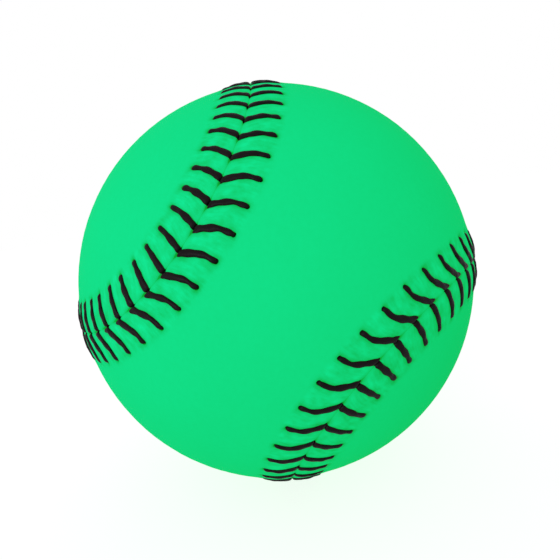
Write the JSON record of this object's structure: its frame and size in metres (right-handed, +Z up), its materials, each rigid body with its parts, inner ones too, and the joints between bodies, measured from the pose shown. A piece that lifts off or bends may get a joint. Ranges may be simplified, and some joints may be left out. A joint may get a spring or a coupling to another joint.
{
  "type": "baseball",
  "caption": "Round hardball: cork and rubber pill, wound yarn layers, two luminous figure-eight cover panels laced with black V stitches along a raised seam.",
  "frame": {"origin": "centre of the ball", "axes": "+Z up, through two places where the seam crosses the axis; +Y through the waist of the back cover panel, so the front panel's waist faces -Y; +X through the seam's other two crossings"},
  "size_m": [0.076, 0.074, 0.076],
  "materials": {
    "cork": "matte",
    "black_rubber": "matte",
    "red_rubber": "matte",
    "grey_yarn": "matte",
    "white_yarn": "matte",
    "finishing_yarn": "matte",
    "luminous_cover": "satin",
    "black_thread": "satin"
  },
  "bodies": {
    "root": {"cork_core": "cork", "inner_rubber_cup_lower": "black_rubber", "inner_rubber_cup_upper": "black_rubber", "rubber_gasket": "red_rubber", "outer_rubber_cup_lower": "red_rubber", "outer_rubber_cup_upper": "red_rubber", "first_winding": "grey_yarn", "second_winding": "white_yarn", "third_winding": "grey_yarn", "finishing_winding": "finishing_yarn", "cover_panel_front": "luminous_cover", "cover_panel_back": "luminous_cover", "thread_first_leg": "black_thread", "thread_second_leg": "black_thread"}
  },
  "joints": []
}
